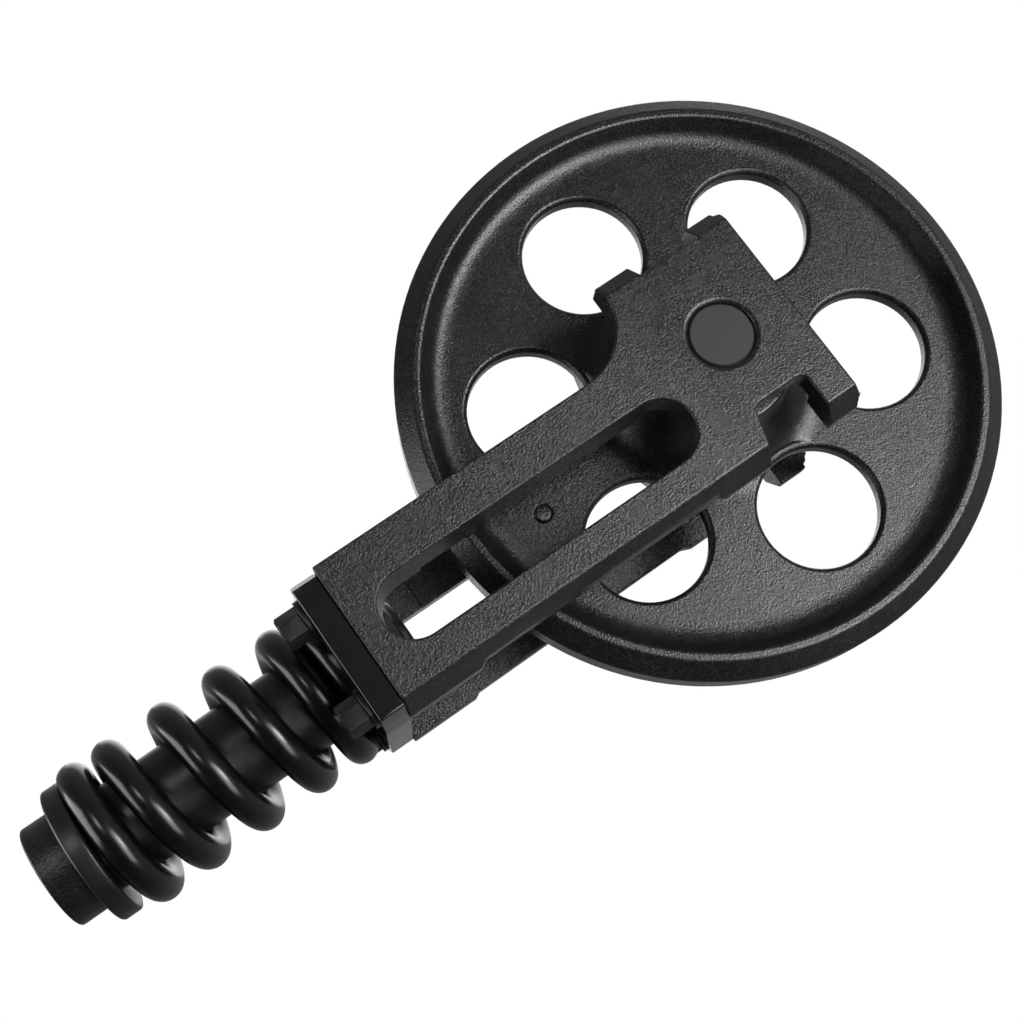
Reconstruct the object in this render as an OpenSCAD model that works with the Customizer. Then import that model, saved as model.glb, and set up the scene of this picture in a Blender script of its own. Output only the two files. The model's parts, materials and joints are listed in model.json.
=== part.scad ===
// Track idler wheel in a forged yoke, with a recoil spring and a grease adjuster.
// Millimetres. Origin: wheel centre. +X away from the spring, +Y along the axle, +Z up.
// The near side is -Y. Every moving fit has its own named clearance.

/* [Wheel] */
// tread diameter
wheel_d = 370; // [330:1:410]
// width of the flat tread
tread_w = 20; // [14:0.5:26]
// width over the rim
rim_w = 38; // [32:0.5:46]
// height of the rim's bevels under the tread
rim_bevel = 11; // [6:0.5:16]
// height of the rim's flat side lands
rim_land = 5; // [3:0.5:8]
// web thickness
web_t = 13.4; // [8:0.2:18]
// lightening hole diameter
hole_d = 74.6; // [50:0.2:80]
// radius of the circle of lightening holes
hole_ring_r = 105.6; // [95:0.2:112]
// number of lightening holes
hole_n = 6; // [4:1:8]
// angle of the first lightening hole above +X
hole_turn = 36.2; // [0:0.1:60]
// radius on the edges of the lightening holes
hole_edge_r = 3.5; // [1:0.5:5]
// gap between the hub's ends and the seal bosses of the side plates
hub_gap = 2; // [1:0.5:4]
// length of the hub's straight ends
hub_land_l = 24; // [12:1:30]
// hub diameter at its ends
hub_end_d = 94; // [84:1:104]
// hub diameter at the foot of its cone
hub_foot_d = 110; // [98:1:124]
// diameter where the hub runs out into the web
hub_blend_d = 156; // [130:1:160]
// diameter of the balance plug in the web
plug_d = 10.5; // [8:0.5:14]
// distance of the balance plug in from the rim's side lands
plug_in = 41; // [35:0.5:50]
// angle of the balance plug above +X
plug_turn = 186.5; // [170:0.5:200]
// height of the plug's ends over the web
plug_up = 0.8; // [0.2:0.1:2]

/* [Axle and seals] */
// axle diameter
axle_d = 38; // [30:0.5:45]
// chamfer on the axle's ends
axle_end_c = 1.2; // [0.4:0.1:2]
// depth of the axle's ends under the plates' outer faces
axle_sunk = 1.2; // [0:0.1:2]
// radial running clearance between axle and bushes
axle_clear = 0.05; // [0.02:0.01:0.1]
// bush outside diameter
bush_od = 46; // [42:0.5:54]
// grease space between the two bushes
bush_gap = 12; // [6:1:20]
// depth of the seal pocket in each hub end
pocket_l = 19; // [14:0.5:24]
// seal pocket diameter
pocket_d = 68.8; // [60:0.2:76]
// outside diameter of a seal ring's body
seal_od = 56; // [50:0.5:60]
// inside diameter of a seal ring
seal_id = 41; // [40:0.5:46]
// depth of the lapped seal faces in from the hub's ends
seal_in = 7; // [4:0.5:9]
// length of a seal ring
seal_l = 10.5; // [8:0.5:14]
// flange and chamfers of a seal ring
seal_lip = 2; // [1:0.2:3]
// gap between the two lapped seal faces
seal_clear = 0.05; // [0.02:0.01:0.1]
// section diameter of a seal's rubber ring
rubber_d = 6.5; // [5:0.1:8]
// section diameter of the axle's O-rings
o_ring_d = 3; // [2:0.1:4]
// squeeze of an O-ring into its groove and bore
o_ring_squeeze = 0.1; // [0.05:0.05:0.3]
// diameter of the axle's lock pins
pin_d = 8; // [6:0.5:9]
// depth of a lock pin past the top of the axle
pin_depth = 16; // [8:0.5:18]

/* [Yoke side plates] */
// width over the plates' outer faces
yoke_w = 167.4; // [150:0.2:185]
// plate thickness
plate_t = 24.7; // [18:0.1:30]
// rear end of the plates
plate_rear_x = -261.2; // [-280:0.2:-240]
// front end at the outer face
plate_front_x = 44.2; // [36:0.2:56]
// how far the front end runs out towards the inner face
front_draft = 5.8; // [0:0.2:8]
// top of the arm
arm_top_z = 18.9; // [14:0.1:26]
// bottom edge of the outer face
face_low_z = -66; // [-72:0.5:-60]
// underside of the arm between its pads
arm_low_z = -72.4; // [-75:0.1:-66]
// underside of the rear pad and of the head
pad_low_z = -75; // [-79:0.1:-70]
// front end of the rear pad
rear_pad_x = -211; // [-230:1:-190]
// rear end of the head's pad
head_pad_x = -52; // [-70:1:-40]
// extra inner thickness of the rear pad
rear_pad_t = 5; // [0:0.5:10]
// depth of the bevels measured across the plate
bevel_y = 10.5; // [6:0.5:14]
// drop of the lower bevel
low_bevel_z = 5.9; // [3:0.1:9]
// top of the outer face on ear and prong
ear_face_z = 55; // [48:0.5:60]
// top of ear and prong
ear_top_z = 64.6; // [58:0.1:70]
// rear side of the ear
ear_rear_x = -40.4; // [-50:0.2:-32]
// front side of the ear
ear_front_x = -16.8; // [-22:0.2:-10]
// rear side of both prongs
prong_x = 24; // [18:0.2:30]
// radius of the hollow behind the ear
ear_r = 39.6; // [30:0.2:46]
// floor of the upper notch
top_notch_z = 54; // [45:0.5:58]
// floor of the lower notch
low_notch_z = -43.6; // [-50:0.2:-36]
// corner radius of the lower notch
notch_r = 5.5; // [2:0.5:9]
// corner radius of the prongs
prong_r = 3.8; // [2:0.2:9]
// height of the slot's centre line, shared with the spring
slot_z = -27.4; // [-32:0.1:-22]
// slot width at the outer face
slot_w = 39.3; // [30:0.1:46]
// rear end of the slot
slot_rear_x = -247; // [-255:0.5:-230]
// front end of the slot
slot_front_x = -42.5; // [-60:0.5:-36]
// how much narrower each wall of the slot gets towards the inside
slot_draft = 2.2; // [0:0.05:4]
// diameter of the round hollow inside the head
hollow_d = 120; // [100:1:130]
// depth of the round hollow inside the head
hollow_t = 8; // [0:0.5:12]
// outside diameter of the seal boss in the hollow
boss_d = 82; // [76:1:90]
// height of the seal boss
boss_t = 6; // [4:0.5:7]
// chamfer on the axle bore's outer edge
bore_c = 1.8; // [0.5:0.1:3]
// radial clearance between axle and plate bore
bore_clear = 0.05; // [0.02:0.01:0.1]

/* [End plate] */
// end plate thickness
end_t = 15.8; // [12:0.1:22]
// how far the end plate's sides stand in from the plates' outer faces
end_inset = 2.7; // [0:0.1:8]
// top of the end plate
end_top_z = 18; // [14:0.1:24]
// underside of the end plate
end_low_z = -74; // [-79:0.1:-68]
// drop of the upper side bevels
end_top_drop = 4; // [2:0.1:8]
// width of the upper side bevels
end_top_run = 9; // [5:0.5:14]
// rise of the lower side bevels
end_low_rise = 4.7; // [2:0.1:8]
// width of the lower side bevels
end_low_run = 27; // [8:0.5:32]
// outside diameter of the end plate's bush
end_bush_od = 63; // [60:0.5:70]

/* [Bolts] */
// bolt thread diameter
bolt_d = 12; // [10:1:16]
// bolt head width across flats
bolt_af = 18; // [16:0.5:24]
// bolt head height
bolt_head_h = 13.8; // [8:0.1:16]
// bolt length under the head
bolt_l = 54; // [40:1:70]
// turn of the hexagons
bolt_turn = 7; // [0:1:60]
// bolt hole in the end plate
bolt_hole_d = 13; // [12.5:0.1:15]
// distance of the bolts in from the plates' outer faces
bolt_in = 19.2; // [14:0.1:22]
// height of the middle of the bolt pattern under the spring axis
bolt_low = 1.1; // [0:0.1:3]
// distance of the bolts above and below the middle of their pattern
bolt_dz = 28.8; // [24:0.1:34]
// washer diameter
washer_d = 24.4; // [24:0.2:30]
// washer thickness
washer_t = 3; // [2:0.1:5]

/* [Spring and adjuster] */
// adjuster tube diameter
tube_d = 55.4; // [50:0.1:60]
// front end of the adjuster tube
tube_front_x = -233; // [-240:0.5:-228]
// radial clearance between tube and end plate bush
tube_clear = 0.05; // [0.02:0.01:0.1]
// spring outside diameter
spring_od = 95.8; // [88:0.2:100]
// spring wire diameter
wire_d = 19.5; // [14:0.1:20]
// how far the wire's centre runs past each seat before the ends are ground flat
grind = 2.2; // [0:0.1:4]
// gap between the wires of the closed end coils
wire_gap = 0.1; // [0.05:0.05:0.5]
// closed turns at each end of the spring
close_turns = 1.32; // [1:0.02:1.6]
// open turns between the closed ends
open_turns = 3.15; // [2:0.05:5]
// turn of the wire's rear end from the top
spring_start = -0.45; // [-1:0.05:1]
// front side of the rear collar
collar_front_x = -439; // [-450:0.5:-425]
// rear collar thickness
collar_t = 12; // [8:0.5:18]
// rear collar diameter
collar_d = 84.8; // [76:0.2:92]
// edge radius of the rear collar
collar_r = 2; // [0.5:0.1:4]
// rear spigot diameter
spigot_d = 63; // [56:0.5:70]
// rear spigot length
spigot_l = 20; // [12:0.5:26]
// edge radius of the rear spigot
spigot_r = 1.7; // [1:0.1:5]
// plunger shank diameter
shank_d = 40; // [32:0.5:44]
// plunger shank length
shank_l = 100; // [80:1:110]
// radial clearance between shank and tube bore
shank_clear = 0.05; // [0.02:0.01:0.1]
// depth of the tube's bore
bore_l = 112; // [95:1:125]
// grease passage diameter
passage_d = 6; // [4:0.5:10]
// groove depth of the plunger's rings
groove_t = 3; // [2:0.1:4]
// width of the plunger's seal
seal_w = 7; // [5:0.5:10]
// width of the plunger's guide ring
guide_w = 10; // [6:0.5:14]
// width of the wiper in the tube's mouth
wiper_w = 5; // [3:0.5:8]
// thickness of the wiper
wiper_t = 3; // [2:0.1:4]
// thread diameter of the tube's front end
nut_thread_d = 48; // [42:0.5:52]
// retaining nut width across flats
nut_af = 70; // [64:0.5:75]
// retaining nut height
nut_h = 20; // [12:0.5:24]
// stop washer diameter
stop_d = 74; // [68:0.5:80]
// stop washer thickness
stop_t = 4; // [2:0.1:6]
// nut set screw diameter
screw_d = 6; // [5:0.5:8]
// diameter of the recess for the grease valve in the tube's front end
recess_d = 27; // [25:0.5:32]
// depth of the recess for the grease valve
recess_l = 14; // [10:0.5:18]
// grease valve width across flats
valve_af = 19; // [17:0.5:24]
// grease valve hexagon height
valve_h = 5; // [4:0.5:9]
// grease valve thread diameter
valve_thread_d = 14; // [12:0.5:18]
// grease valve thread length
valve_thread_l = 14; // [10:0.5:20]
// grease nipple head diameter
nipple_d = 6.5; // [6:0.1:8]
// grease nipple height over the valve
nipple_h = 8; // [6:0.5:10]

/* [Hidden] */
$fn = 64;
eps = 1;
far = 400;
face_y = yoke_w/2;
inner_y = face_y - plate_t;
hollow_y = inner_y + hollow_t;
boss_y = hollow_y - boss_t;
hub_l = 2*(boss_y - hub_gap);
pocket_y = hub_l/2 - pocket_l;
seal_y = hub_l/2 - seal_in;
rim_land_d = wheel_d - 2*rim_bevel;
rim_lip_d = rim_land_d - 2*rim_land;
end_w = yoke_w - 2*end_inset;
bolt_y = face_y - bolt_in;
bolt_z = slot_z - bolt_low;
end_rear_x = plate_rear_x - end_t;
head_x = end_rear_x - washer_t;
collar_rear_x = collar_front_x - collar_t;
spigot_rear_x = collar_rear_x - spigot_l;
bore_end_x = collar_rear_x + bore_l;
shank_end_x = collar_rear_x + shank_l;
seal_x = shank_end_x - 6 - seal_w;
guide_x = seal_x - 8 - guide_w;
wiper_x = collar_rear_x + 3;
stop_front_x = plate_rear_x + stop_t;
nut_front_x = stop_front_x + nut_h;
valve_x = tube_front_x - recess_l;
spring_r = (spring_od - wire_d)/2;
rubber_r = (pocket_d + seal_od)/4;
o_ring_y = face_y - 4;
hex = 1/cos(30);

// Points of a quadratic curve from a by b to c.
function curve(a, b, c, n) = [for (i = [0:n]) let(t = i/n) (1-t)*(1-t)*a + 2*t*(1-t)*b + t*t*c];
// A profile and its mirror image across the wheel's mid-plane.
function both(p) = concat(p, [for (i = [len(p)-1:-1:0]) [p[i][0], -p[i][1]]]);
// A rounded edge between two sides of a turned profile, from angle a0 to a1.
function arc(cx, cy, r, a0, a1, n = 5) = [for (i = [0:n]) let(a = a0+(a1-a0)*i/n) [cx+r*cos(a), cy+r*sin(a)]];

// Turns a child's own Z axis to lie along the axle.
module along_y() { rotate([-90, 0, 0]) children(); }
// Turns a child's own Z axis to lie along the spring, at the spring's height.
module along_x(x = 0) { translate([x, 0, slot_z]) rotate([0, 90, 0]) children(); }
// A plain ring along Z from z0 to z1.
module ring(r0, r1, z0, z1) {
  rotate_extrude() polygon([[r0, z0], [r1, z0], [r1, z1], [r0, z1]]);
}
// A hexagon along Z with its corners turned off at the lower end, from 0 down to -h.
module hex_head(af, h) {
  intersection() {
    translate([0, 0, -h]) cylinder(d = af*hex, h = h, $fn = 6);
    rotate_extrude() polygon([
      [0, -h], [af*0.47, -h], [af*hex/2+0.1, -h+af*0.075], [af*hex/2+0.1, 0], [0, 0]]);
  }
}

function wheel_side() = concat(
  [[bush_od/2, pocket_y], [pocket_d/2, pocket_y], [pocket_d/2, hub_l/2]],
  arc(hub_end_d/2-2, hub_l/2-2, 2, 90, 10),
  curve([hub_end_d/2+3, hub_l/2-hub_land_l], [hub_foot_d/2, web_t/2], [hub_blend_d/2, web_t/2], 10),
  curve([rim_lip_d/2-18, web_t/2], [rim_lip_d/2-6, web_t/2], [rim_lip_d/2-3.7, 14], 5),
  [[rim_lip_d/2, rim_w/2-0.6], [rim_lip_d/2+0.8, rim_w/2], [rim_land_d/2, rim_w/2]],
  [[wheel_d/2, tread_w/2]]);

module hole_cutter() {
  h = web_t/2;
  r = hole_d/2 + hole_edge_r;
  low = [for (i = [1:5]) let(a = 18*i) [r-hole_edge_r*sin(a), h-hole_edge_r+hole_edge_r*cos(a)]];
  along_y() rotate_extrude() polygon(both(concat([[0, 20], [r+1, 20], [r+1, h+0.4]], low)));
}

module at_plug() {
  rotate([0, -plug_turn, 0]) translate([rim_lip_d/2-plug_in, 0, 0]) along_y() children();
}

module wheel() color("dimgray") difference() {
  along_y() rotate_extrude($fn = 128) polygon(both(wheel_side()));
  for (k = [0:hole_n-1]) rotate([0, -hole_turn-k*360/hole_n, 0]) translate([hole_ring_r, 0, 0]) hole_cutter();
  at_plug() cylinder(d = plug_d, h = 4*web_t, center = true);
}

module balance_plug() color("gray") at_plug() rotate_extrude() polygon(
  both([[0, web_t/2+plug_up], [plug_d/2-1, web_t/2+plug_up], [plug_d/2, web_t/2]]));

module bush() {
  along_y() ring(axle_d/2+axle_clear, bush_od/2, bush_gap/2, pocket_y);
}
module bush_far() color("goldenrod") bush();
module bush_near() color("goldenrod") mirror([0, 1, 0]) bush();

module seal_turning() along_y() rotate_extrude() polygon([
  [seal_id/2, seal_y-seal_clear-seal_l], [seal_od/2-seal_lip, seal_y-seal_clear-seal_l],
  [seal_od/2, seal_y-seal_clear-seal_l+seal_lip], [seal_od/2, seal_y-seal_clear-seal_lip],
  [seal_od/2+seal_lip, seal_y-seal_clear], [seal_id/2, seal_y-seal_clear]]);
module seal_turning_far() color("silver") seal_turning();
module seal_turning_near() color("silver") mirror([0, 1, 0]) seal_turning();

module seal_fixed() along_y() rotate_extrude() polygon([
  [seal_id/2, seal_y], [seal_od/2+seal_lip, seal_y], [seal_od/2, seal_y+seal_lip],
  [seal_od/2, hollow_y-seal_lip], [seal_od/2-seal_lip, hollow_y], [seal_id/2, hollow_y]]);
module seal_fixed_far() color("silver") seal_fixed();
module seal_fixed_near() color("silver") mirror([0, 1, 0]) seal_fixed();

module rubber(y) along_y() translate([0, 0, y]) rotate_extrude()
  translate([rubber_r, 0]) circle(d = rubber_d, $fn = 32);
rubber_in_y = seal_y - seal_l/2 - 1;
rubber_out_y = hollow_y - rubber_d/2;
module rubber_turning_far() color("black") rubber(rubber_in_y);
module rubber_turning_near() color("black") rubber(-rubber_in_y);
module rubber_fixed_far() color("black") rubber(rubber_out_y);
module rubber_fixed_near() color("black") rubber(-rubber_out_y);

module axle() color("darkgray") difference() {
  along_y() rotate_extrude() polygon(both([[0, face_y-axle_sunk],
    [axle_d/2-axle_end_c, face_y-axle_sunk], [axle_d/2, face_y-axle_sunk-axle_end_c]]));
  for (s = [-1, 1]) {
    translate([0, s*o_ring_y, 0]) along_y()
      ring(axle_d/2-o_ring_d+o_ring_squeeze, axle_d, -o_ring_d*0.6, o_ring_d*0.6);
    translate([0, s*(hollow_y+5), axle_d/2-pin_depth]) cylinder(d = pin_d, h = axle_d);
  }
}

module axle_pins() color("darkgray") for (s = [-1, 1]) translate([0, s*(hollow_y+5), 0])
  rotate_extrude() polygon([[0, axle_d/2-pin_depth], [pin_d/2, axle_d/2-pin_depth],
    [pin_d/2, top_notch_z-3], [pin_d/2-1, top_notch_z-2], [0, top_notch_z-2]]);

module axle_o_rings() color("black") for (s = [-1, 1]) translate([0, s*o_ring_y, 0]) along_y()
  rotate_extrude() translate([axle_d/2-o_ring_d/2+o_ring_squeeze, 0]) circle(d = o_ring_d, $fn = 24);

// A block that removes all that lies outside a plane through p, tilted by a about X.
module plane_x(p, a) {
  translate([0, p[0], p[1]]) rotate([a, 0, 0]) translate([-far, -far/2, 0]) cube([2*far, far, far/4]);
}

// A corner block less its rounding, along Y. sx and sz point to the corner's outside.
module corner_cut(x, z, r, sx, sz) {
  translate([x-sx*r, 0, z-sz*r]) difference() {
    translate([sx > 0 ? 0 : -r-5, -far/2, sz > 0 ? 0 : -r-5]) cube([r+5, far, r+5]);
    along_y() cylinder(r = r, h = far+2, center = true);
  }
}

module slot_cutter() {
  r0 = slot_w/2;
  k = slot_draft/plate_t;
  y0 = -face_y-eps;
  y1 = -inner_y+rear_pad_t+eps;
  ra = r0+k*eps;
  rb = r0-k*(y1+face_y);
  for (x = [slot_rear_x+r0, slot_front_x-r0])
    translate([x, y0, slot_z]) along_y() cylinder(r1 = ra, r2 = rb, h = y1-y0);
  translate([slot_rear_x+r0, 0, slot_z]) rotate([90, 0, 90])
    linear_extrude(slot_front_x-slot_rear_x-2*r0) polygon([[y0, -ra], [y1, -rb], [y1, rb], [y0, ra]]);
}

module lower_notch() {
  x0 = -12;
  for (x = [x0+notch_r, prong_x-notch_r])
    translate([x, 0, low_notch_z-notch_r]) along_y() cylinder(r = notch_r, h = far, center = true);
  translate([x0+notch_r, -far/2, low_notch_z-2*notch_r]) cube([prong_x-x0-2*notch_r, far, 2*notch_r]);
  translate([0, far/2, 0]) rotate([90, 0, 0]) linear_extrude(far) polygon([[x0, low_notch_z-notch_r],
    [prong_x, low_notch_z-notch_r], [prong_x, 2*pad_low_z], [ear_front_x-4, 2*pad_low_z],
    [ear_front_x-0.5, face_low_z]]);
}

module plate_blank() {
  x1 = plate_front_x+front_draft;
  translate([plate_rear_x, -face_y, pad_low_z]) cube([x1-plate_rear_x, plate_t, arm_top_z-pad_low_z]);
  translate([ear_rear_x-ear_r, -face_y, 0]) cube([x1-ear_rear_x+ear_r, plate_t, ear_top_z]);
  translate([plate_rear_x, -inner_y-eps, pad_low_z])
    cube([rear_pad_x-plate_rear_x, rear_pad_t+eps, arm_top_z-pad_low_z]);
}

module side_plate() {
  bore_r = axle_d/2+bore_clear;
  ear_cz = arm_top_z+ear_r;
  low_a = atan(low_bevel_z/bevel_y);
  top_a = atan((ear_top_z-ear_face_z)/bevel_y);
  difference() {
    plate_blank();
    translate([ear_rear_x-ear_r, 0, ear_cz]) along_y() cylinder(r = ear_r, h = far, center = true, $fn = 96);
    translate([ear_rear_x-2*ear_r, -far/2, ear_cz]) cube([2*ear_r, far, far/4]);
    translate([ear_front_x, -far/2, top_notch_z]) cube([prong_x-ear_front_x, far, far/4]);
    lower_notch();
    translate([0, far/2, 0]) rotate([90, 0, 0]) linear_extrude(far) polygon([[rear_pad_x-6, 2*pad_low_z],
      [rear_pad_x-6, pad_low_z-eps], [rear_pad_x, arm_low_z], [head_pad_x, arm_low_z],
      [head_pad_x+5, pad_low_z-eps], [head_pad_x+5, 2*pad_low_z]]);
    plane_x([-face_y, face_low_z], 180-low_a);
    plane_x([-face_y, ear_face_z], top_a);
    translate([plate_front_x, -face_y, -far/2]) rotate([0, 0, -atan(front_draft/plate_t)])
      translate([0, -far/4, 0]) cube([far/4, far/2, far]);
    corner_cut(plate_front_x+2, ear_top_z-3, prong_r, 1, 1);
    corner_cut(plate_front_x+3.5, pad_low_z+3, prong_r, 1, -1);
    slot_cutter();
    translate([0, -face_y-eps, 0]) along_y() cylinder(r = bore_r, h = plate_t+2*eps);
    translate([0, -face_y, 0]) along_y() translate([0, 0, -eps])
      cylinder(r1 = bore_r+bore_c+eps, r2 = bore_r, h = bore_c+eps);
    difference() {
      translate([0, -hollow_y, 0]) along_y() cylinder(d = hollow_d, h = hollow_t+eps, $fn = 96);
      translate([0, -hollow_y-eps, 0]) along_y() ring(pocket_d/2, boss_d/2, 0, boss_t+eps);
    }
    translate([0, -hollow_y-5, 0]) cylinder(d = pin_d, h = far);
    for (s = [-1, 1]) translate([plate_rear_x-eps, -bolt_y, bolt_z+s*bolt_dz]) rotate([0, 90, 0])
      cylinder(d = bolt_d, h = bolt_l-end_t-washer_t+eps);
  }
}
module side_plate_near() color("dimgray") side_plate();
module side_plate_far() color("dimgray") mirror([0, 1, 0]) side_plate();

module at_bolts(x) {
  for (sy = [-1, 1], sz = [-1, 1]) translate([x, sy*bolt_y, bolt_z+sz*bolt_dz]) rotate([0, 90, 0]) children();
}

module end_plate() color("dimgray") difference() {
  translate([end_rear_x, 0, 0]) rotate([90, 0, 90]) linear_extrude(end_t) polygon(concat(
    [for (s = [-1, 1]) each s < 0
      ? [[-end_w/2, end_low_z+end_low_rise], [-end_w/2+end_low_run, end_low_z]]
      : [[end_w/2-end_low_run, end_low_z], [end_w/2, end_low_z+end_low_rise]]],
    [[end_w/2, end_top_z-end_top_drop], [end_w/2-end_top_run, end_top_z],
     [-end_w/2+end_top_run, end_top_z], [-end_w/2, end_top_z-end_top_drop]]));
  along_x(end_rear_x-eps) cylinder(d = end_bush_od, h = end_t+2*eps);
  at_bolts(end_rear_x-eps) cylinder(d = bolt_hole_d, h = end_t+2*eps);
}

module end_plate_bolts() color("gray") at_bolts(head_x) {
  rotate([0, 0, bolt_turn]) hex_head(bolt_af, bolt_head_h);
  cylinder(d = bolt_d, h = bolt_l);
}

module end_plate_washers() color("gray") at_bolts(head_x) ring(bolt_hole_d/2, washer_d/2, 0, washer_t);

module end_plate_bush() color("goldenrod") along_x()
  ring(tube_d/2+tube_clear, end_bush_od/2, end_rear_x, plate_rear_x);

turn_n = 36;
wire_n = 14;
// A spring with closed ends that are ground flat on its two seats.
module recoil_spring() color("black") intersection() {
  x0 = collar_front_x-grind;
  x1 = end_rear_x+grind;
  close_l = close_turns*(wire_d+wire_gap);
  turns = 2*close_turns+open_turns;
  climb = [[0, x0], [close_turns, x0+close_l], [turns-close_turns, x1-close_l], [turns, x1]];
  n = round(turns*turn_n);
  p = [for (i = [0:n], j = [0:wire_n-1]) let(u = turns*i/n, a = 360*(spring_start+u), b = 360*j/wire_n,
    r = spring_r+wire_d/2*sin(b)) [lookup(u, climb)+wire_d/2*cos(b), -r*sin(a), slot_z+r*cos(a)]];
  sides = [for (i = [0:n-1], j = [0:wire_n-1]) let(a = i*wire_n+j, b = i*wire_n+(j+1)%wire_n)
    each [[a, a+wire_n, b+wire_n], [a, b+wire_n, b]]];
  polyhedron(p, concat(sides, [[for (j = [0:wire_n-1]) j]], [[for (j = [wire_n-1:-1:0]) n*wire_n+j]]));
  along_x(collar_front_x) cylinder(d = 2*spring_od, h = end_rear_x-collar_front_x);
}

module adjuster_tube() color("black") difference() {
  along_x() rotate_extrude() polygon([[0, collar_rear_x], [tube_d/2, collar_rear_x], [tube_d/2, plate_rear_x],
    [nut_thread_d/2, plate_rear_x], [nut_thread_d/2, tube_front_x-1.5], [nut_thread_d/2-1.5, tube_front_x],
    [0, tube_front_x]]);
  along_x(collar_rear_x-eps) cylinder(r = shank_d/2+shank_clear, h = bore_l+eps);
  along_x(bore_end_x-eps) cylinder(d = passage_d, h = tube_front_x-bore_end_x+2*eps);
  along_x(valve_x-valve_thread_l) cylinder(d = valve_thread_d, h = valve_thread_l+eps);
  along_x(valve_x) cylinder(d = recess_d, h = recess_l+eps);
  along_x(wiper_x) cylinder(r = shank_d/2+wiper_t, h = wiper_w);
}

module rear_collar() color("gray") along_x() rotate_extrude() polygon(concat(
  [[tube_d/2, collar_rear_x]], arc(collar_d/2-collar_r, collar_rear_x+collar_r, collar_r, -90, 0),
  arc(collar_d/2-collar_r, collar_front_x-collar_r, collar_r, 0, 90), [[tube_d/2, collar_front_x]]));

module plunger() color("gray") difference() {
  along_x() rotate_extrude() polygon(concat([[0, spigot_rear_x]],
    arc(spigot_d/2-spigot_r, spigot_rear_x+spigot_r, spigot_r, -90, 0),
    [[spigot_d/2, collar_rear_x], [shank_d/2, collar_rear_x], [shank_d/2, shank_end_x-2],
     [shank_d/2-2, shank_end_x], [0, shank_end_x]]));
  along_x() ring(shank_d/2-groove_t, shank_d, seal_x, seal_x+seal_w);
  along_x() ring(shank_d/2-groove_t, shank_d, guide_x, guide_x+guide_w);
}

module plunger_seal() color("black") along_x() ring(shank_d/2-groove_t, shank_d/2, seal_x, seal_x+seal_w);
module plunger_guide_ring() color("goldenrod") along_x()
  ring(shank_d/2-groove_t, shank_d/2, guide_x, guide_x+guide_w);
module tube_wiper() color("black") along_x()
  ring(shank_d/2+shank_clear, shank_d/2+wiper_t, wiper_x, wiper_x+wiper_w);
module stop_washer() color("gray") along_x() ring(nut_thread_d/2, stop_d/2, plate_rear_x, stop_front_x);

module retaining_nut() color("gray") along_x() difference() {
  translate([0, 0, stop_front_x]) rotate([180, 0, 0]) hex_head(nut_af, nut_h);
  translate([0, 0, stop_front_x-eps]) cylinder(d = nut_thread_d, h = nut_h+2*eps);
  translate([0, 0, (stop_front_x+nut_front_x)/2]) rotate([0, -90, 0]) cylinder(d = screw_d, h = nut_af);
}

module nut_set_screw() color("darkgray") along_x() translate([0, 0, (stop_front_x+nut_front_x)/2])
  intersection() {
    rotate([0, -90, 0]) cylinder(d = screw_d, h = nut_af);
    ring(nut_thread_d/2, nut_af/2-0.6, -screw_d, screw_d);
  }

module grease_valve() color("gray") difference() {
  union() {
    along_x(valve_x) rotate([180, 0, 0]) hex_head(valve_af, valve_h);
    along_x(valve_x-valve_thread_l) cylinder(d = valve_thread_d, h = valve_thread_l+eps);
  }
  along_x(valve_x) cylinder(d = passage_d, h = valve_h+eps);
}

module grease_nipple() color("silver") along_x(valve_x+valve_h) rotate_extrude() polygon([
  [0, -valve_h], [passage_d/2, -valve_h], [passage_d/2, 0], [nipple_d/2+1, 0], [nipple_d/2+1, 2],
  [nipple_d/2-1, 3.5], [nipple_d/2-1, nipple_h-3], [nipple_d/2, nipple_h-2],
  [nipple_d/2-1.2, nipple_h], [0, nipple_h]]);

wheel();
balance_plug();
bush_near();
bush_far();
seal_turning_near();
seal_turning_far();
rubber_turning_near();
rubber_turning_far();
seal_fixed_near();
seal_fixed_far();
rubber_fixed_near();
rubber_fixed_far();
axle();
axle_pins();
axle_o_rings();
side_plate_near();
side_plate_far();
end_plate();
end_plate_bolts();
end_plate_washers();
end_plate_bush();
recoil_spring();
adjuster_tube();
rear_collar();
plunger();
plunger_seal();
plunger_guide_ring();
tube_wiper();
stop_washer();
retaining_nut();
nut_set_screw();
grease_valve();
grease_nipple();
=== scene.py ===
"""Track idler with a recoil spring: finishes, rounded edges, a wound spring and a studio."""

import json
import math

import bmesh
import bpy
from bpy.props import FloatProperty, FloatVectorProperty, IntProperty, PointerProperty
from mathutils import Matrix, Vector


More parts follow.
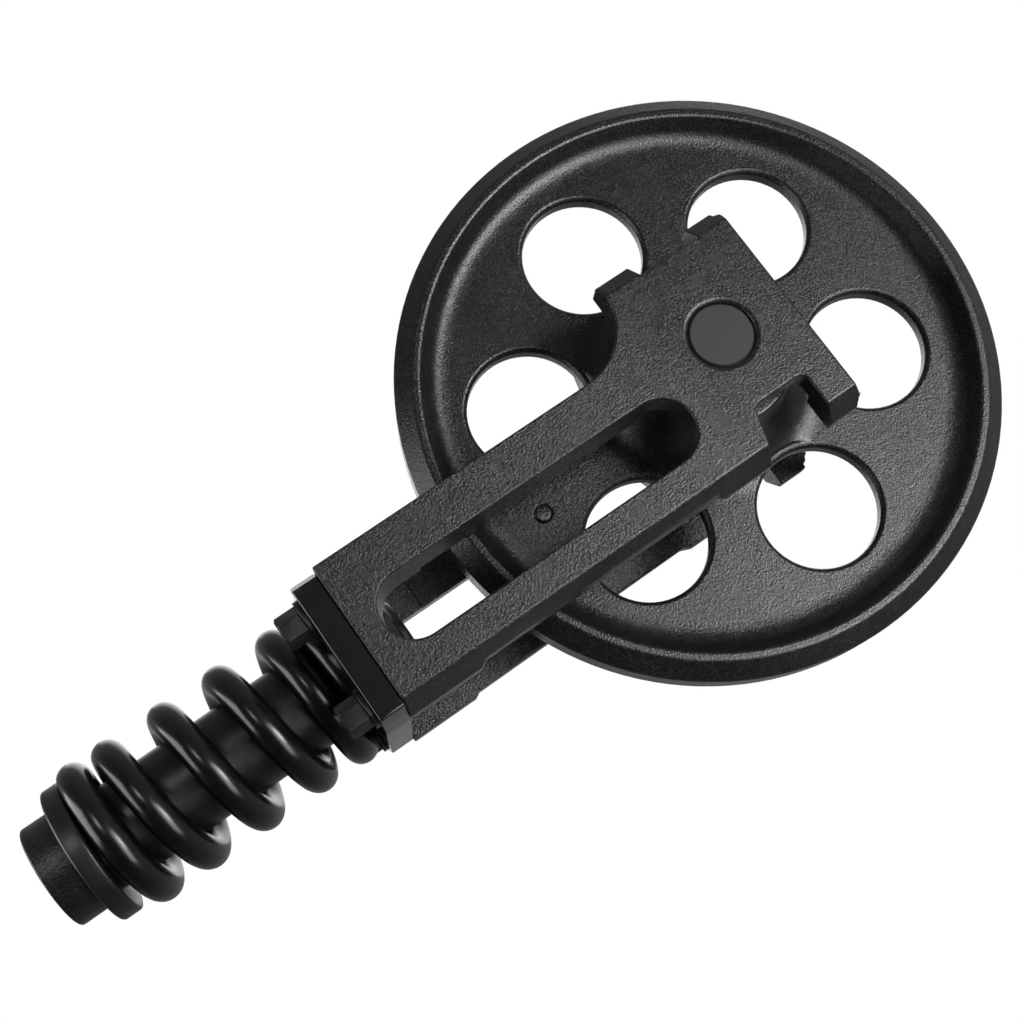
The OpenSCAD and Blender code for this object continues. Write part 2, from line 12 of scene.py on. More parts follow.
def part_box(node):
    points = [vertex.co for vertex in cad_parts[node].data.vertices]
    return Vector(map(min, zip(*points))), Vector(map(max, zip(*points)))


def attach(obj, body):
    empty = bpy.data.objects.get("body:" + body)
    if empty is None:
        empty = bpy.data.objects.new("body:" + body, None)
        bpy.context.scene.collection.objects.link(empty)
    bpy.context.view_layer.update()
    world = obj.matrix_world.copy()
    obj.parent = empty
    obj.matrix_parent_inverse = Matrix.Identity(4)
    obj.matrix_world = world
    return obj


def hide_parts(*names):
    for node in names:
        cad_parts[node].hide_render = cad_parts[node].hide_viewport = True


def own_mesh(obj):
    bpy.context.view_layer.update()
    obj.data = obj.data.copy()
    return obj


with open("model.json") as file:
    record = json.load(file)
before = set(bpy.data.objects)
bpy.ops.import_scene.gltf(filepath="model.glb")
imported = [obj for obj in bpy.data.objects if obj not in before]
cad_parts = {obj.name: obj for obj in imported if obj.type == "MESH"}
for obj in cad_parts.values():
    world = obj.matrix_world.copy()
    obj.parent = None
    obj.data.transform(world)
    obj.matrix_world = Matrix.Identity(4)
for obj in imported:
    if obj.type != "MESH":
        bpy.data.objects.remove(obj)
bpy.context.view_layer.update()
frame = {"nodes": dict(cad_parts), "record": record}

bl_info = {
    "name": "Track idler finishes",
    "version": (1, 0, 0),
    "blender": (4, 5, 0),
    "location": "View3D > Sidebar > Idler",
    "description": "Dresses the packed track idler with painted and turned finishes and lights it",
    "category": "Object",
}

SPRING_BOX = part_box("recoil_spring")
MM = 0.001

# edges sharper than this, in degrees, are rounded and shaded as edges; the second is for the ground spring
SHARP_EDGE = 32.0
SHARP_CUT = 25.0
# faces that differ by less than this become one, in degrees
FLAT_ANGLE = 0.4
# points nearer than these are one: in the CAD mesh, along the wound wire and after the rounding
SAME_POINT = 1e-6
WIRE_POINT = 1e-7
CORNER_POINT = 5e-6
# faces across a rounded edge
EDGE_SEGMENTS = 3
# how much the larger faces lead the shading, from 1 to 100
FACE_LEAD = 90
# share of the grain that is left on the plates' heads
CALM_GRAIN = 0.5
# the photo camera: focal length and picture in pixels, sensor in millimetres, and place in metres
FOCAL_PIXELS = 1547.854
PICTURE_PIXELS = 1024.0
SENSOR = 36.0
CAMERA_PLACE = (-0.3060234, -0.8905070, -0.1608064)
# turned pieces: the coordinates across an axis along X or Y, and a point on the wheel's axis
ACROSS_X = (0.0, 1.0, 1.0)
ACROSS_Y = (1.0, 0.0, 1.0)
WHEEL_AXIS = (0.0, 0.0, 0.0)
# grain of the same size in every direction
EVEN = (1.0, 1.0, 1.0)


class IdlerSizes(bpy.types.PropertyGroup):
    """Sizes that a user may change without touching the solids."""

    cast_edge: FloatProperty(name="Cast edge", description="Rounding of cast and forged edges",
                             default=1.1 * MM, min=0.0, unit="LENGTH")
    turned_edge: FloatProperty(name="Turned edge", description="Rounding of turned and sawn edges",
                               default=0.5 * MM, min=0.0, unit="LENGTH")
    wire: FloatProperty(name="Spring wire", description="Diameter of the spring's wire",
                        default=19.5 * MM, min=0.001, unit="LENGTH")
    coil: FloatProperty(name="Coil radius", description="Radius of the coil at the wire's centre",
                        default=38.15 * MM, min=0.001, unit="LENGTH")
    coil_steps: IntProperty(name="Steps a turn", description="Sections in one turn of the spring",
                            default=72, min=12)
    wire_sides: IntProperty(name="Wire sides", description="Sides of the wire's section", default=28, min=8)
    spring_height: FloatProperty(name="Spring height",
                                 description="Height of the spring's axis over the wheel's",
                                 default=-27.4 * MM, unit="LENGTH")
    wire_gap: FloatProperty(name="Wire gap", description="Gap between the wires of the closed end coils",
                            default=0.1 * MM, min=0.0, unit="LENGTH")
    grind: FloatProperty(name="Grind",
                         description="How far the wire's centre runs past each seat before it is ground",
                         default=2.2 * MM, min=0.0, unit="LENGTH")
    close_turns: FloatProperty(name="Closed turns", description="Closed turns at each end",
                               default=1.32, min=0.5)
    open_turns: FloatProperty(name="Open turns", description="Open turns between the closed ends",
                              default=3.15, min=1.0)
    room: FloatProperty(name="Room", description="Brightness of the room around the white backdrop",
                        default=0.1, min=0.0, max=1.0)


class IdlerColours(bpy.types.PropertyGroup):
    """Base colours of the finishes."""

    cast_black: FloatVectorProperty(name="Cast paint", description="Paint on the casting and forgings",
                                    subtype="COLOR", size=3, default=(0.01, 0.01, 0.0101),
                                    min=0.0, max=1.0)
    end_black: FloatVectorProperty(name="End plate paint", description="Smoother paint on the end plate",
                                   subtype="COLOR", size=3, default=(0.006, 0.006, 0.0061),
                                   min=0.0, max=1.0)
    gloss_black: FloatVectorProperty(name="Gloss paint", description="Paint on spring and tube",
                                     subtype="COLOR", size=3, default=(0.004, 0.004, 0.0041),
                                     min=0.0, max=1.0)
    satin_black: FloatVectorProperty(name="Satin paint", description="Paint on turned faces",
                                     subtype="COLOR", size=3, default=(0.006, 0.006, 0.0061),
                                     min=0.0, max=1.0)
    steel: FloatVectorProperty(name="Steel", description="Bare turned steel", subtype="COLOR", size=3,
                               default=(0.42, 0.42, 0.43), min=0.0, max=1.0)
    bronze: FloatVectorProperty(name="Bronze", description="Plain bearing bronze", subtype="COLOR", size=3,
                                default=(0.56, 0.37, 0.17), min=0.0, max=1.0)
    rubber: FloatVectorProperty(name="Rubber", description="Seal rubber", subtype="COLOR", size=3,
                                default=(0.014, 0.014, 0.014), min=0.0, max=1.0)


# Node helpers

def value_group(name, inputs, outputs):
    """A new shader node group with the named sockets, and its input and output nodes."""
    tree = bpy.data.node_groups.new(name, "ShaderNodeTree")
    for label, default in inputs:
        kind = "NodeSocketVector" if isinstance(default, tuple) else "NodeSocketFloat"
        tree.interface.new_socket(label, in_out="INPUT", socket_type=kind).default_value = default
    for label in outputs:
        tree.interface.new_socket(label, in_out="OUTPUT", socket_type="NodeSocketFloat")
    return tree, tree.nodes.new("NodeGroupInput"), tree.nodes.new("NodeGroupOutput")


def plug(tree, source, target):
    """Links a socket to a socket, or sets a plain value."""
    if isinstance(source, bpy.types.NodeSocket):
        tree.links.new(source, target)
    else:
        target.default_value = source


def maths(tree, kind, a, b=0.0, c=0.0):
    """A Math node's result."""
    node = tree.nodes.new("ShaderNodeMath")
    node.operation = kind
    for socket, source in zip(node.inputs, (a, b, c)):
        plug(tree, source, socket)
    return node.outputs[0]


def noise(tree, vector, scale, detail, rough):
    """A noise texture's value."""
    node = tree.nodes.new("ShaderNodeTexNoise")
    for label, source in (("Vector", vector), ("Scale", scale), ("Detail", detail), ("Roughness", rough)):
        plug(tree, source, node.inputs[label])
    return node.outputs["Fac"]


def cells(tree, vector, scale, smooth):
    """Soft cell distance, for pits and orange peel."""
    node = tree.nodes.new("ShaderNodeTexVoronoi")
    node.feature = "SMOOTH_F1"
    for label, source in (("Vector", vector), ("Scale", scale), ("Smoothness", smooth)):
        plug(tree, source, node.inputs[label])
    return node.outputs["Distance"]


def stretched(tree, vector, factor):
    """A vector multiplied by a factor for each axis."""
    node = tree.nodes.new("ShaderNodeVectorMath")
    node.operation = "MULTIPLY"
    plug(tree, vector, node.inputs[0])
    plug(tree, factor, node.inputs[1])
    return node.outputs[0]


def paint_grain():
    """Grain of thick paint on a cast or forged skin: height; a colour value with a painted highlight on the
    tops and painted shade in the pits, over a random mottle; and dull spots.
    """
    tree = bpy.data.node_groups.get("Paint grain")
    if tree:
        return tree
    tree, given, result = value_group(
        "Paint grain",
        [("Position", (0.0, 0.0, 0.0)), ("Stretch", EVEN), ("Peel", 420.0), ("Cast", 90.0)],
        ["Height", "Painted shade and mottle", "Dull"])
    place = stretched(tree, given.outputs["Position"], given.outputs["Stretch"])
    peel = given.outputs["Peel"]
    wrinkle = noise(tree, place, peel, 2.0, 0.55)
    pebble = cells(tree, place, maths(tree, "MULTIPLY", peel, 0.8), 0.8)
    wave = noise(tree, place, given.outputs["Cast"], 3.0, 0.5)
    fine = noise(tree, place, maths(tree, "MULTIPLY", peel, 2.6), 1.0, 0.5)
    height = maths(tree, "MULTIPLY_ADD", pebble, -0.35, maths(tree, "MULTIPLY", wrinkle, 0.75))
    height = maths(tree, "MULTIPLY_ADD", wave, 0.3, height)
    height = maths(tree, "MULTIPLY_ADD", fine, 0.16, height)
    tree.links.new(height, result.inputs["Height"])
    # painted light and shade: the tops of the grain are painted lighter and its pits darker, as light and
    # shade would fall on them
    skin = spread(tree, height, 0.0, 0.55, 0.36, 0.6)
    # random mottle, the paint's own uneven tone, is mixed into the painted shade
    mottle = noise(tree, given.outputs["Position"], 14.0, 4.0, 0.6)
    tree.links.new(maths(tree, "MULTIPLY_ADD", mottle, 0.45, skin), result.inputs["Painted shade and mottle"])
    tree.links.new(noise(tree, given.outputs["Position"], 55.0, 5.0, 0.65), result.inputs["Dull"])
    return tree


def lathe_marks():
    """Fine rings about an axis along X or Y, as a lathe leaves them under the paint: height, and a sheen
    value that sets the roughness and paints a sheen into the colour.
    """
    tree = bpy.data.node_groups.get("Lathe marks")
    if tree:
        return tree
    tree, given, result = value_group(
        "Lathe marks",
        [("Position", (0.0, 0.0, 0.0)), ("Centre", (0.0, 0.0, 0.0)), ("Across", ACROSS_X), ("Rings", 1600.0)],
        ["Height", "Sheen"])
    off = tree.nodes.new("ShaderNodeVectorMath")
    off.operation = "SUBTRACT"
    tree.links.new(given.outputs["Position"], off.inputs[0])
    tree.links.new(given.outputs["Centre"], off.inputs[1])
    flat = stretched(tree, off.outputs[0], given.outputs["Across"])
    size = tree.nodes.new("ShaderNodeVectorMath")
    size.operation = "LENGTH"
    tree.links.new(flat, size.inputs[0])
    split = tree.nodes.new("ShaderNodeSeparateXYZ")
    tree.links.new(off.outputs[0], split.inputs[0])
    along = maths(tree, "ADD", size.outputs["Value"], split.outputs["X"])
    row = tree.nodes.new("ShaderNodeCombineXYZ")
    tree.links.new(along, row.inputs["X"])
    rings = noise(tree, row.outputs[0], given.outputs["Rings"], 2.0, 0.7)
    wide = maths(tree, "MULTIPLY", given.outputs["Rings"], 0.12)
    broad = noise(tree, row.outputs[0], wide, 2.0, 0.6)
    tree.links.new(maths(tree, "MULTIPLY_ADD", broad, 0.6, rings), result.inputs["Height"])
    tree.links.new(broad, result.inputs["Sheen"])
    return tree


def new_finish(name):
    """An empty material with its Principled shader and Object position."""
    mat = bpy.data.materials.new(name)
    mat.use_nodes = True
    tree = mat.node_tree
    tree.nodes.clear()
    out = tree.nodes.new("ShaderNodeOutputMaterial")
    shader = tree.nodes.new("ShaderNodeBsdfPrincipled")
    tree.links.new(shader.outputs[0], out.inputs["Surface"])
    place = tree.nodes.new("ShaderNodeTexCoord").outputs["Object"]
    return mat, tree, shader, place


def spread(tree, value, low, high, from_low=0.3, from_high=0.7):
    """A value carried from one range into another, and kept inside it."""
    node = tree.nodes.new("ShaderNodeMapRange")
    for label, source in (("Value", value), ("From Min", from_low), ("From Max", from_high),
                          ("To Min", low), ("To Max", high)):
        plug(tree, source, node.inputs[label])
    return node.outputs["Result"]


def tinted(tree, value, dark, light):
    """A colour between two by a value; sockets 6 and 7 are the Mix node's two colours."""
    node = tree.nodes.new("ShaderNodeMix")
    node.data_type = "RGBA"
    plug(tree, spread(tree, value, 0.0, 1.0), node.inputs["Factor"])
    node.inputs[6].default_value = (*dark, 1.0)
    node.inputs[7].default_value = (*light, 1.0)
    return node.outputs[2]


def facing(tree, vector, direction):
    """How far a vector points along a direction, from -1 to 1."""
    node = tree.nodes.new("ShaderNodeVectorMath")
    node.operation = "DOT_PRODUCT"
    plug(tree, vector, node.inputs[0])
    plug(tree, direction, node.inputs[1])
    return node.outputs["Value"]


def dented(tree, shader, height, depth):
    """Bumps a shader's normal by a height of the given depth in metres."""
    node = tree.nodes.new("ShaderNodeBump")
    node.inputs["Strength"].default_value = 1.0
    node.inputs["Distance"].default_value = depth
    tree.links.new(height, node.inputs["Height"])
    tree.links.new(node.outputs[0], shader.inputs["Normal"])


def painted(name, colour, peel, cast, stretch, depth, rough, mottle_and_shade_contrast=1.3, calm=None):
    """Thick black paint over a grainy skin, with painted shade in the grain's pits and a painted highlight on
    its tops; the grain may get calmer along X between two places.
    """
    found = bpy.data.materials.get(name)
    if found:
        return found
    mat, tree, shader, place = new_finish(name)
    grain = tree.nodes.new("ShaderNodeGroup")
    grain.node_tree = paint_grain()
    tree.links.new(place, grain.inputs["Position"])
    grain.inputs["Stretch"].default_value = stretch
    grain.inputs["Peel"].default_value = peel
    grain.inputs["Cast"].default_value = cast
    # shaded and lit copies of the paint: darker pits are painted shade, lighter tops a painted highlight, and
    # the same range spreads the random mottle
    pits = [c / mottle_and_shade_contrast for c in colour]
    tops = [c * mottle_and_shade_contrast for c in colour]
    tree.links.new(tinted(tree, grain.outputs["Painted shade and mottle"], pits, tops), shader.inputs["Base Color"])
    tree.links.new(spread(tree, grain.outputs["Dull"], rough[0], rough[1]), shader.inputs["Roughness"])
    height = grain.outputs["Height"]
    if calm:
        split = tree.nodes.new("ShaderNodeSeparateXYZ")
        tree.links.new(place, split.inputs[0])
        left = spread(tree, split.outputs["X"], 1.0, CALM_GRAIN, *calm)
        height = maths(tree, "MULTIPLY", height, left)
    dented(tree, shader, height, depth)
    return mat


def turned(name, colour, centre, across, rings, depth, rough, metal=0.0):
    """A turned face, painted or bare, with its lathe marks."""
    found = bpy.data.materials.get(name)
    if found:
        return found
    mat, tree, shader, place = new_finish(name)
    marks = tree.nodes.new("ShaderNodeGroup")
    marks.node_tree = lathe_marks()
    tree.links.new(place, marks.inputs["Position"])
    marks.inputs["Centre"].default_value = centre
    marks.inputs["Across"].default_value = across
    marks.inputs["Rings"].default_value = rings
    # painted sheen: the colour is lighter and duller in broad bands along the lathe rings, the same bands
    # that change the roughness
    dull = [c * 0.8 for c in colour]
    bright = [min(1.0, c * 1.3) for c in colour]
    tree.links.new(tinted(tree, marks.outputs["Sheen"], dull, bright), shader.inputs["Base Color"])
    tree.links.new(spread(tree, marks.outputs["Sheen"], rough[0], rough[1]), shader.inputs["Roughness"])
    shader.inputs["Metallic"].default_value = metal
    dented(tree, shader, marks.outputs["Height"], depth)
    return mat


def tones():
    """The colours that the user set."""
    return bpy.context.scene.idler_colours


def sizes():
    """The sizes that the user set."""
    return bpy.context.scene.idler_sizes


# Finishes: grain sizes count waves in a metre, depths are in metres

def wheel_paint():
    return painted("Cast wheel paint", tones().cast_black, peel=1100.0, cast=170.0, stretch=EVEN,
                   depth=0.00031, rough=(0.2, 0.28), mottle_and_shade_contrast=1.7)


def plate_paint():
    return painted("Forged plate paint", tones().cast_black, peel=1150.0, cast=140.0, stretch=(0.8, 1.0, 1.0),
                   depth=0.00055, rough=(0.22, 0.3), mottle_and_shade_contrast=1.8, calm=(-0.1, -0.02))


def end_paint():
    return painted("End plate paint", tones().end_black, peel=900.0, cast=160.0, stretch=(1.0, 1.0, 0.7),
                   depth=0.00006, rough=(0.16, 0.22))


def bolt_paint():
    return painted("Bolt paint", tones().satin_black, peel=700.0, cast=200.0, stretch=EVEN,
                   depth=0.00005, rough=(0.28, 0.36))


def spring_paint():
    return painted("Spring gloss paint", tones().gloss_black, peel=260.0, cast=60.0, stretch=EVEN,
                   depth=0.00004, rough=(0.2, 0.26))


def tube_paint():
    return painted("Tube gloss paint", tones().gloss_black, peel=260.0, cast=60.0, stretch=EVEN,
                   depth=0.00003, rough=(0.3, 0.38))


def spigot_paint():
    return painted("Spigot paint", tones().satin_black, peel=1000.0, cast=120.0, stretch=(0.5, 1.0, 1.0),
                   depth=0.0003, rough=(0.3, 0.44), mottle_and_shade_contrast=2.0)


def seal_rubber():
    return painted("Seal rubber", tones().rubber, peel=800.0, cast=260.0, stretch=EVEN,
                   depth=0.00003, rough=(0.55, 0.7))


def guide_tape():
    return painted("Guide tape", (0.36, 0.28, 0.15), peel=800.0, cast=260.0, stretch=EVEN,
                   depth=0.00003, rough=(0.5, 0.6), mottle_and_shade_contrast=1.2)


def spring_axis():
    """A point on the axis of the spring and tube."""
    return (0.0, 0.0, sizes().spring_height)


def collar_paint():
    return turned("Turned satin paint", tones().satin_black, spring_axis(), ACROSS_X, rings=900.0,
                  depth=0.00004, rough=(0.3, 0.46))


def axle_paint():
    return turned("Axle end paint", tones().cast_black, WHEEL_AXIS, ACROSS_Y, rings=700.0,
                  depth=0.00003, rough=(0.44, 0.54))


def bare_steel():
    return turned("Turned steel", tones().steel, spring_axis(), ACROSS_X, rings=1200.0,
                  depth=0.00001, rough=(0.26, 0.36), metal=1.0)


def seal_steel():
    return turned("Lapped steel", tones().steel, WHEEL_AXIS, ACROSS_Y, rings=2200.0,
                  depth=0.000005, rough=(0.16, 0.24), metal=1.0)


def bearing_bronze():
    return turned("Bearing bronze", tones().bronze, WHEEL_AXIS, ACROSS_Y, rings=1500.0,
                  depth=0.00001, rough=(0.3, 0.4), metal=1.0)


# Mesh helpers

def body_of(node):
    """The CAD body that a node belongs to."""
    for body, nodes in frame["record"]["behaviour"]["bodies"].items():
        if node in nodes:
            return body
    raise RuntimeError("no body holds " + node)


def finish_mesh(bm, name, material, body, replaced, rounding=0.0, sharp=SHARP_EDGE, even=False):
    """Makes an object of a bmesh, shades it, rounds its edges, ties it to its CAD body and hides the CAD node
    that it replaces.

    With even, the corners' slivers are joined and the large flat faces are shaded as flat.
    """
    mesh = bpy.data.meshes.new(name)
    bm.to_mesh(mesh)
    bm.free()
    mesh.polygons.foreach_set("use_smooth", [True] * len(mesh.polygons))
    mesh.set_sharp_from_angle(angle=math.radians(sharp))
    mesh.materials.append(material)
    obj = bpy.data.objects.new(name, mesh)
    bpy.context.scene.collection.objects.link(obj)
    if rounding > 0.0:
        soft = obj.modifiers.new("Rounded edges", "BEVEL")
        soft.width = rounding
        soft.segments = EDGE_SEGMENTS
        soft.limit_method = "ANGLE"
        soft.angle_limit = math.radians(sharp)
        soft.use_clamp_overlap = False
        soft.harden_normals = True
    if even:
        joined = obj.modifiers.new("Joined corners", "WELD")
        joined.merge_threshold = CORNER_POINT
        flat = obj.modifiers.new("Even faces", "WEIGHTED_NORMAL")
        flat.keep_sharp = True
        flat.weight = FACE_LEAD
    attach(obj, body)
    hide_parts(replaced)
    return obj


def rounded_copy(node, material, rounding, even=False):
    """A merged copy of a CAD node with rounded edges."""
    bm = bmesh.new()
    bm.from_mesh(frame["nodes"][node].data)
    bmesh.ops.remove_doubles(bm, verts=bm.verts, dist=SAME_POINT)
    bmesh.ops.dissolve_limit(bm, angle_limit=math.radians(FLAT_ANGLE), verts=bm.verts, edges=bm.edges)
    return finish_mesh(bm, node + "_rounded", material, body_of(node), node, rounding, even=even)


def dress(node, material):
    """Gives a CAD node a finish."""
    obj = frame["nodes"][node]
    if not obj.material_slots:
        obj.data.materials.append(material)
    for place in obj.material_slots:
        place.material = material


class IDLER_OT_wheel(bpy.types.Operator):
    """Dress the wheel and its balance plug"""

    bl_idname = "idler.wheel"
    bl_label = "Wheel"

    def execute(self, context):
        rounded_copy("wheel", wheel_paint(), sizes().cast_edge, even=True)
        rounded_copy("balance_plug", wheel_paint(), sizes().turned_edge)
        return {"FINISHED"}


class IDLER_OT_side_plates(bpy.types.Operator):
    """Dress both forged side plates"""

    bl_idname = "idler.side_plates"
    bl_label = "Side plates"

    def execute(self, context):
        for node in ("side_plate_near", "side_plate_far"):
            rounded_copy(node, plate_paint(), sizes().cast_edge, even=True)
        return {"FINISHED"}


class IDLER_OT_end_plate(bpy.types.Operator):
    """Dress the end plate with its bolts, washers and bush"""

    bl_idname = "idler.end_plate"
    bl_label = "End plate"

    def execute(self, context):
        rounded_copy("end_plate", end_paint(), sizes().cast_edge, even=True)
        rounded_copy("end_plate_bolts", bolt_paint(), sizes().turned_edge)
        rounded_copy("end_plate_washers", bolt_paint(), sizes().turned_edge)
        dress("end_plate_bush", bearing_bronze())
        return {"FINISHED"}


class IDLER_OT_spring(bpy.types.Operator):
    """Wind the recoil spring with ground ends"""

    bl_idname = "idler.spring"
    bl_label = "Recoil spring"

    # turn of the rear end from the top, and the thin tip that the seat hides, in turns
    start = -0.45
    tip = 0.125
    # the pitch is averaged over this many samples on each side, at this many samples a turn
    reach = 5
    samples = 60

    def along(self, turn):
        """The wire's centre after a count of turns: closed, open and closed again."""
        s = sizes()
        first, last = SPRING_BOX[0][0] - s.grind, SPRING_BOX[1][0] + s.grind
        close = s.wire + s.wire_gap
        pitch = (last - first - 2 * s.close_turns * close) / s.open_turns
        opened = min(s.open_turns, max(0.0, turn - s.close_turns))
        return first + close * (turn - opened) + pitch * opened

    def smooth_along(self, turn):
        """The centre averaged over a sixth of a turn, so that the pitch changes gently."""
        nearby = range(-self.reach, self.reach + 1)
        return sum(self.along(turn + d / self.samples) for d in nearby) / len(nearby)

    def execute(self, context):
        s = sizes()
        bm = bmesh.new()
        ring = bmesh.ops.create_circle(bm, segments=s.wire_sides, radius=s.wire / 2, cap_ends=True)
        skipped = int(round(self.tip * s.coil_steps))
        angle = 2 * math.pi * (self.start + skipped / s.coil_steps)
        out = Vector((0.0, -math.sin(angle), math.cos(angle)))
        axis = Vector((1.0, 0.0, 0.0))
        turn_to = Matrix((axis, out, axis.cross(out))).transposed().to_4x4()
        middle = Vector((self.smooth_along(skipped / s.coil_steps), 0.0, s.spring_height))
        place = Matrix.Translation(out * s.coil + middle)
        bmesh.ops.transform(bm, matrix=place @ turn_to, verts=ring["verts"])
        steps = int(round((2 * s.close_turns + s.open_turns) * s.coil_steps))
        geom = list(bm.faces)
        for i in range(skipped, steps):
            turn = i / s.coil_steps
            rise = self.smooth_along(turn + 1.0 / s.coil_steps) - self.smooth_along(turn)
            made = bmesh.ops.spin(bm, geom=geom, cent=(0.0, 0.0, s.spring_height), axis=axis,
                                  dvec=Vector((rise, 0.0, 0.0)), angle=2 * math.pi / s.coil_steps, steps=1,
                                  use_merge=False, use_duplicate=False)
            # the section that the spin started from would stay inside the wire
            if i > skipped:
                bmesh.ops.delete(bm, geom=geom, context="FACES_ONLY")
            geom = [g for g in made["geom_last"] if isinstance(g, bmesh.types.BMFace)]
        bmesh.ops.remove_doubles(bm, verts=bm.verts, dist=WIRE_POINT)
        for plane_x, side in ((SPRING_BOX[0][0], -1.0), (SPRING_BOX[1][0], 1.0)):
            whole = list(bm.verts) + list(bm.edges) + list(bm.faces)
            cut = bmesh.ops.bisect_plane(bm, geom=whole, dist=WIRE_POINT, plane_co=(plane_x, 0.0, 0.0),
                                         plane_no=(side, 0.0, 0.0), clear_outer=True)
            rim = [g for g in cut["geom_cut"] if isinstance(g, bmesh.types.BMEdge)]
            bmesh.ops.holes_fill(bm, edges=rim, sides=0)
        bmesh.ops.recalc_face_normals(bm, faces=bm.faces)
        obj = finish_mesh(bm, "recoil_spring_wound", spring_paint(), "adjuster", "recoil_spring",
                          sharp=SHARP_CUT)
        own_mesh(obj)
        return {"FINISHED"}


class IDLER_OT_adjuster(bpy.types.Operator):
    """Dress the adjuster tube, collar, plunger, nut, valve and their rings"""

    bl_idname = "idler.adjuster"
    bl_label = "Adjuster"

    def execute(self, context):
        rounded_copy("adjuster_tube", tube_paint(), 0.0)
        rounded_copy("rear_collar", collar_paint(), 0.0)
        rounded_copy("plunger", spigot_paint(), 0.0)
        rounded_copy("retaining_nut", bolt_paint(), sizes().turned_edge)
        rounded_copy("grease_valve", bolt_paint(), sizes().turned_edge)
        for node in ("stop_washer", "nut_set_screw"):
            dress(node, bolt_paint())
        dress("grease_nipple", seal_steel())
        for node in ("plunger_seal", "tube_wiper"):
            dress(node, seal_rubber())
        dress("plunger_guide_ring", guide_tape())
        return {"FINISHED"}


class IDLER_OT_axle(bpy.types.Operator):
    """Dress the axle, its pins, bushes and seals"""

    bl_idname = "idler.axle"
    bl_label = "Axle and seals"

    def execute(self, context):
        rounded_copy("axle", axle_paint(), 0.0)
        dress("axle_pins", bare_steel())
        dress("axle_o_rings", seal_rubber())
        for side in ("near", "far"):
            dress("bush_" + side, bearing_bronze())
            dress("seal_turning_" + side, seal_steel())
            dress("seal_fixed_" + side, seal_steel())
            dress("rubber_turning_" + side, seal_rubber())
            dress("rubber_fixed_" + side, seal_rubber())
        return {"FINISHED"}


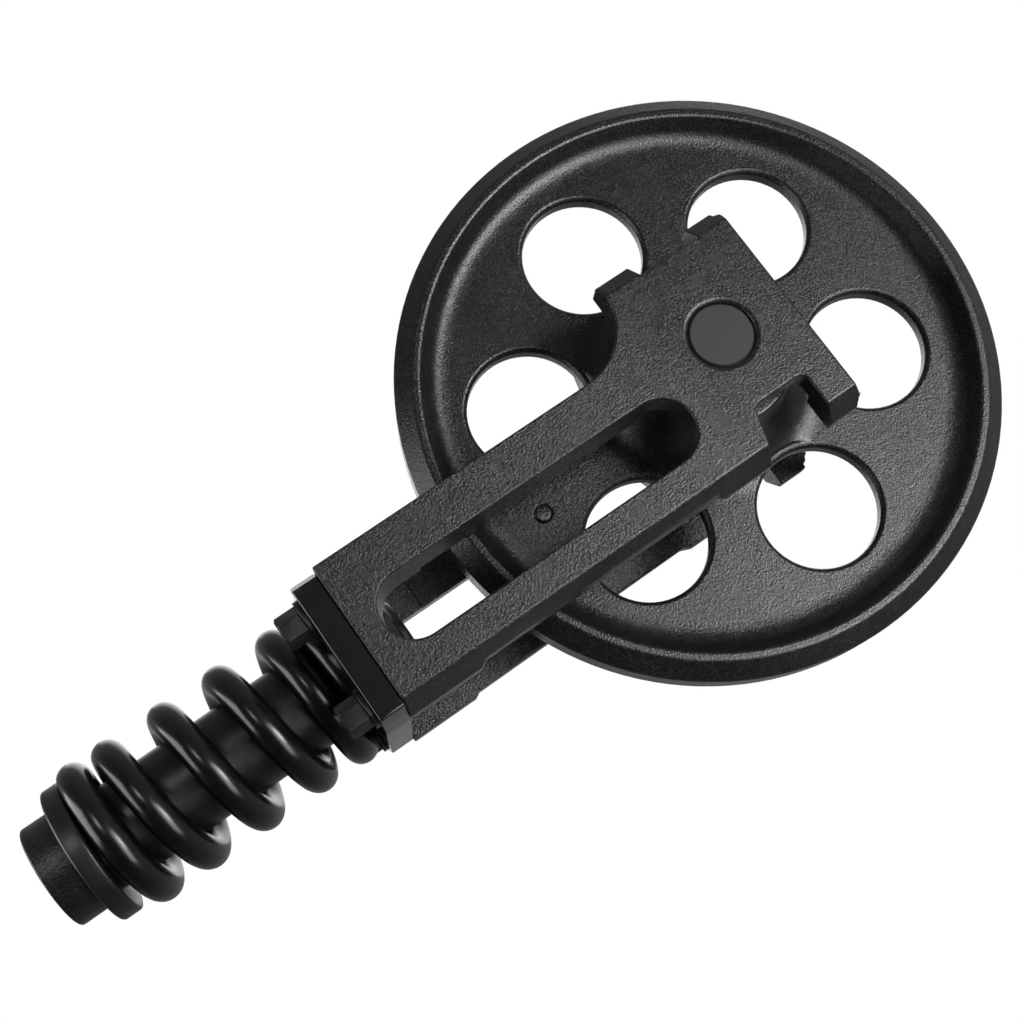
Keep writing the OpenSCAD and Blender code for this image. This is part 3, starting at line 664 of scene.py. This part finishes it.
class IDLER_OT_stage(bpy.types.Operator):
    """Set the soft lamps, white backdrop, dim room and camera"""

    bl_idname = "idler.stage"
    bl_label = "Studio"

    # the camera's own directions
    right = Vector((0.8146788, -0.0483292, -0.5778951))
    down = Vector((-0.5512875, 0.2446763, -0.7976313))
    ahead = Vector((0.1799461, 0.9683996, 0.1726893))

    def lamp(self, name, toward, far, aim, size, power, beam=180.0):
        """A soft box right, up and in front of its aim, as the camera sees it, with a beam in degrees."""
        way = toward[0] * self.right - toward[1] * self.down - toward[2] * self.ahead
        place = Vector(aim) + far * way.normalized()
        data = bpy.data.lights.new(name, "AREA")
        data.shape = "RECTANGLE"
        data.size, data.size_y = size
        data.energy = power
        data.spread = math.radians(beam)
        obj = bpy.data.objects.new(name, data)
        obj.location = place
        obj.visible_camera = False
        obj.rotation_euler = (-way).to_track_quat("-Z", "Y").to_euler()
        bpy.context.scene.collection.objects.link(obj)

    def surroundings(self):
        """A white backdrop behind the object, and a dim room that is darkest low on the left in front."""
        world = bpy.data.worlds.new("Studio")
        world.use_nodes = True
        tree = world.node_tree
        tree.nodes.clear()
        way = tree.nodes.new("ShaderNodeTexCoord").outputs["Generated"]
        behind = spread(tree, facing(tree, way, self.ahead), 0.0, 1.0, 0.86, 0.97)
        up_left = -0.6 * self.right - 0.8 * self.down
        upper = spread(tree, facing(tree, way, up_left), 0.0, 1.0, -0.15, 0.15)
        behind = maths(tree, "MULTIPLY", behind, upper)
        low_left = -0.55 * self.right + 0.5 * self.down - 0.67 * self.ahead
        bright, dark = 3.0 * sizes().room, 0.25 * sizes().room
        room = spread(tree, facing(tree, way, low_left), bright, dark, -0.6, 0.8)
        rays = tree.nodes.new("ShaderNodeLightPath").outputs
        mirrored = maths(tree, "MAXIMUM", rays["Is Glossy Ray"], rays["Is Transmission Ray"])
        white = maths(tree, "MAXIMUM", rays["Is Camera Ray"], maths(tree, "MULTIPLY", mirrored, behind))
        sky = tree.nodes.new("ShaderNodeBackground")
        sky.inputs["Color"].default_value = (1.0, 1.0, 1.0, 1.0)
        tree.links.new(maths(tree, "MULTIPLY_ADD", white, maths(tree, "SUBTRACT", 1.0, room), room),
                       sky.inputs["Strength"])
        out = tree.nodes.new("ShaderNodeOutputWorld")
        tree.links.new(sky.outputs[0], out.inputs["Surface"])
        bpy.context.scene.world = world

    def camera(self):
        """The camera that was fitted to the photo."""
        data = bpy.data.cameras.new("Photo camera")
        data.sensor_width = SENSOR
        data.lens = FOCAL_PIXELS / PICTURE_PIXELS * SENSOR
        data.clip_end = 50.0
        obj = bpy.data.objects.new("Photo camera", data)
        turn = Matrix((self.right, -self.down, -self.ahead)).transposed().to_4x4()
        obj.matrix_world = Matrix.Translation(CAMERA_PLACE) @ turn
        bpy.context.scene.collection.objects.link(obj)
        bpy.context.scene.camera = obj

    def execute(self, context):
        self.camera()
        self.surroundings()
        self.lamp("Key box", toward=(0.5, -0.01, 0.86), far=1.8, aim=(-0.1, 0.0, 0.0),
                  size=(0.8, 1.7), power=20.0)
        self.lamp("Wheel box", toward=(0.58, 0.249, 0.776), far=1.5, aim=(0.1, 0.0, -0.06),
                  size=(0.9, 0.9), power=1.9, beam=30.0)
        self.lamp("Spigot box", toward=(-0.29, 0.36, 0.904), far=1.2, aim=(-0.52, -0.02, -0.03),
                  size=(0.4, 0.4), power=0.08, beam=25.0)
        self.lamp("Left panel", toward=(-0.94, -0.29, 0.12), far=1.5, aim=(-0.3, 0.0, -0.02),
                  size=(1.6, 1.1), power=22.0)
        self.lamp("Back panel", toward=(0.0, 0.3, -0.95), far=2.0, aim=(-0.1, 0.0, 0.0),
                  size=(2.6, 1.8), power=12.0)
        bpy.context.scene.view_settings.view_transform = "Standard"
        return {"FINISHED"}


class IDLER_PT_panel(bpy.types.Panel):
    """Lists the idler's pieces and their sizes"""

    bl_idname = "IDLER_PT_panel"
    bl_label = "Track idler"
    bl_space_type = "VIEW_3D"
    bl_region_type = "UI"
    bl_category = "Idler"

    def draw(self, context):
        column = self.layout.column(align=True)
        for piece in PIECES:
            column.operator(piece.bl_idname)
        for holder in (context.scene.idler_sizes, context.scene.idler_colours):
            box = self.layout.box()
            for label in holder.__annotations__:
                box.prop(holder, label)


PIECES = (IDLER_OT_wheel, IDLER_OT_side_plates, IDLER_OT_end_plate, IDLER_OT_spring, IDLER_OT_adjuster,
          IDLER_OT_axle, IDLER_OT_stage)
CLASSES = (IdlerSizes, IdlerColours) + PIECES + (IDLER_PT_panel,)


def register():
    for cls in CLASSES:
        bpy.utils.register_class(cls)
    bpy.types.Scene.idler_sizes = PointerProperty(type=IdlerSizes)
    bpy.types.Scene.idler_colours = PointerProperty(type=IdlerColours)


def unregister():
    del bpy.types.Scene.idler_colours
    del bpy.types.Scene.idler_sizes
    for cls in reversed(CLASSES):
        bpy.utils.unregister_class(cls)


def main():
    register()
    bpy.ops.idler.stage()
    bpy.ops.idler.wheel()
    bpy.ops.idler.side_plates()
    bpy.ops.idler.end_plate()
    bpy.ops.idler.spring()
    bpy.ops.idler.adjuster()
    bpy.ops.idler.axle()


if __name__ == "__main__":
    main()
